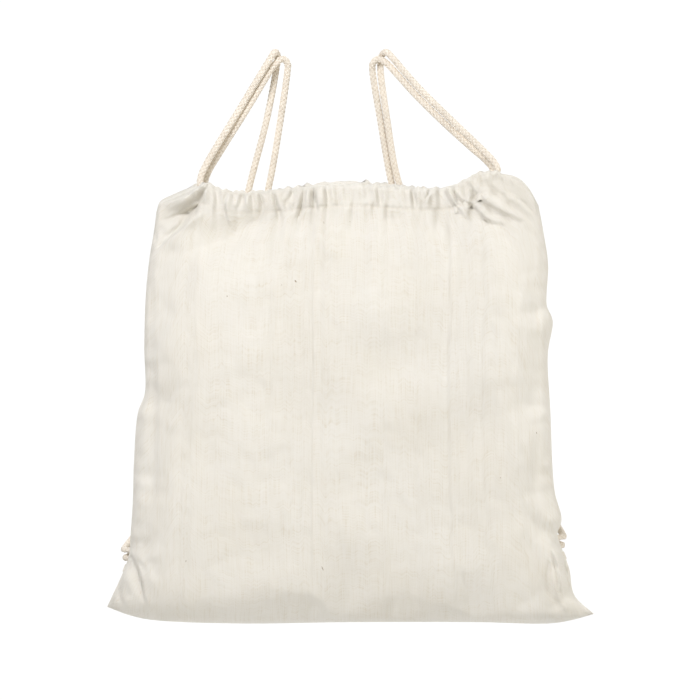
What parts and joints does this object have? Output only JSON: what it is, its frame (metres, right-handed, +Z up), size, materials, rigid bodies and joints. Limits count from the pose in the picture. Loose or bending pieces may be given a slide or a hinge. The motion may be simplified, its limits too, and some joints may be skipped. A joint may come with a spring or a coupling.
{
  "type": "drawstring backpack",
  "caption": "Unbleached cotton drawstring backpack: two sewn panels gathered at the mouth by braided cords whose loops form the shoulder straps.",
  "frame": {"origin": "midway between the two strap loops' resting points at the level of the hooks, in the plane of the side seams; the bag hangs below it", "axes": "+Z up; the front panel faces -Y; +X is to the right as seen from the front"},
  "size_m": [0.3798, 0.0835, 0.4496],
  "materials": {
    "canvas": "matte",
    "seam_allowance": "matte",
    "braid": "matte",
    "thread": "matte"
  },
  "bodies": {
    "bag": {"front_panel": "canvas", "back_panel": "canvas", "back_casing": "canvas", "left_side_seam": "seam_allowance", "right_side_seam": "seam_allowance", "bottom_seam": "seam_allowance", "left_drawcord_back_run": "braid", "right_drawcord_back_run": "braid", "left_cord_knot": "braid", "right_cord_knot": "braid", "left_bartack": "thread", "right_bartack": "thread", "back_casing_stitching": "thread"},
    "front_lip": {"front_casing": "canvas", "left_drawcord_front_run": "braid", "right_drawcord_front_run": "braid", "front_casing_stitching": "thread"},
    "left_strap": {"left_strap_outer_cord": "braid", "left_strap_inner_cord": "braid"},
    "right_strap": {"right_strap_outer_cord": "braid", "right_strap_inner_cord": "braid"}
  },
  "joints": [
    {"name": "mouth_opening", "type": "hinge", "parent": "bag", "child": "front_lip", "pos_m": [0, -0.037, -0.25], "axis": [1, 0, 0], "range_deg": [0, 35]},
    {"name": "left_strap_swing", "type": "hinge", "parent": "bag", "child": "left_strap", "pos_m": [-0.1088, -0.007, -0.1086], "axis": [0.2337, -0.0442, 0.9713], "range_deg": [0, 70]},
    {"name": "right_strap_swing", "type": "hinge", "parent": "bag", "child": "right_strap", "pos_m": [0.1096, -0.0072, -0.0971], "axis": [0.198, 0.045, -0.9792], "range_deg": [0, 70]}
  ]
}
